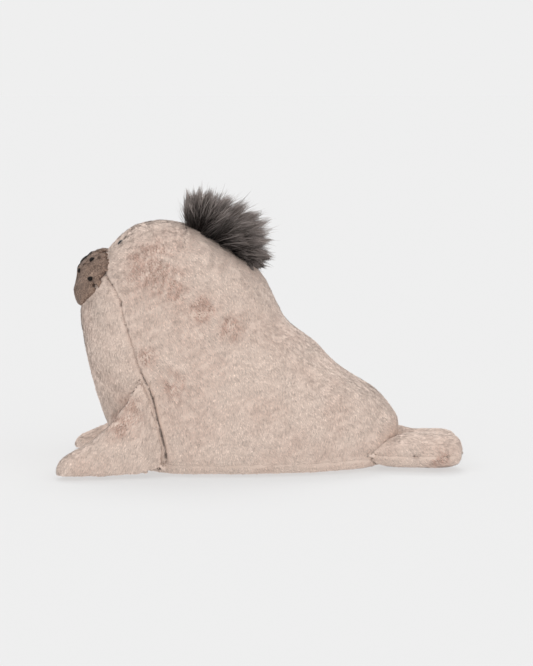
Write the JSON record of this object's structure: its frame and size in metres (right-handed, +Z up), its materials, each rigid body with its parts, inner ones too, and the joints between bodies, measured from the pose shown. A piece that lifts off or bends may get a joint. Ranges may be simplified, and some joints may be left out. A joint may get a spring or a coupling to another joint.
{
  "type": "plush sea lion",
  "caption": "Sitting plush sea lion in short beige pile, with a raised head, dark muzzle, long-pile tuft and puffed flippers, resting on a flat base.",
  "frame": {"origin": "on the floor, in the flat of the base, on the toy's plane of symmetry", "axes": "+Z up, the head looks along -X and the tail flippers lie along +X, and the toy's left side faces -Y"},
  "size_m": [0.4025, 0.1972, 0.278],
  "materials": {
    "body_plush": "short soft plush pile, beige with pinkish and greyish mottling",
    "muzzle_plush": "very short dense brown plush",
    "tuft_fur": "long fluffy dark grey-brown faux fur with paler tips",
    "fibre_filling": "white polyester fibre filling",
    "pouch_cloth": "plain woven pouch cloth over pellets",
    "dark_thread": "dark embroidery thread",
    "eye_bead": "polished black bead",
    "washer": "moulded plastic washer"
  },
  "bodies": {
    "root": {"left_side_panel": "body_plush", "right_side_panel": "body_plush", "chest_panel": "body_plush", "base_panel": "body_plush", "body_filling": "fibre_filling", "pellet_pouch": "pouch_cloth", "left_front_flipper_outer": "body_plush", "left_front_flipper_inner": "body_plush", "left_front_flipper_filling": "fibre_filling", "left_tail_flipper_upper": "body_plush", "left_tail_flipper_lower": "body_plush", "left_tail_flipper_filling": "fibre_filling", "right_front_flipper_outer": "body_plush", "right_front_flipper_inner": "body_plush", "right_front_flipper_filling": "fibre_filling", "right_tail_flipper_upper": "body_plush", "right_tail_flipper_lower": "body_plush", "right_tail_flipper_filling": "fibre_filling", "muzzle_panel": "muzzle_plush", "muzzle_filling": "fibre_filling", "nose_embroidery": "dark_thread", "left_whisker_dot_1": "dark_thread", "left_whisker_dot_2": "dark_thread", "left_whisker_dot_3": "dark_thread", "left_eye": "eye_bead", "left_eye_washer": "washer", "right_whisker_dot_1": "dark_thread", "right_whisker_dot_2": "dark_thread", "right_whisker_dot_3": "dark_thread", "right_eye": "eye_bead", "right_eye_washer": "washer", "tuft": "tuft_fur"}
  },
  "joints": []
}
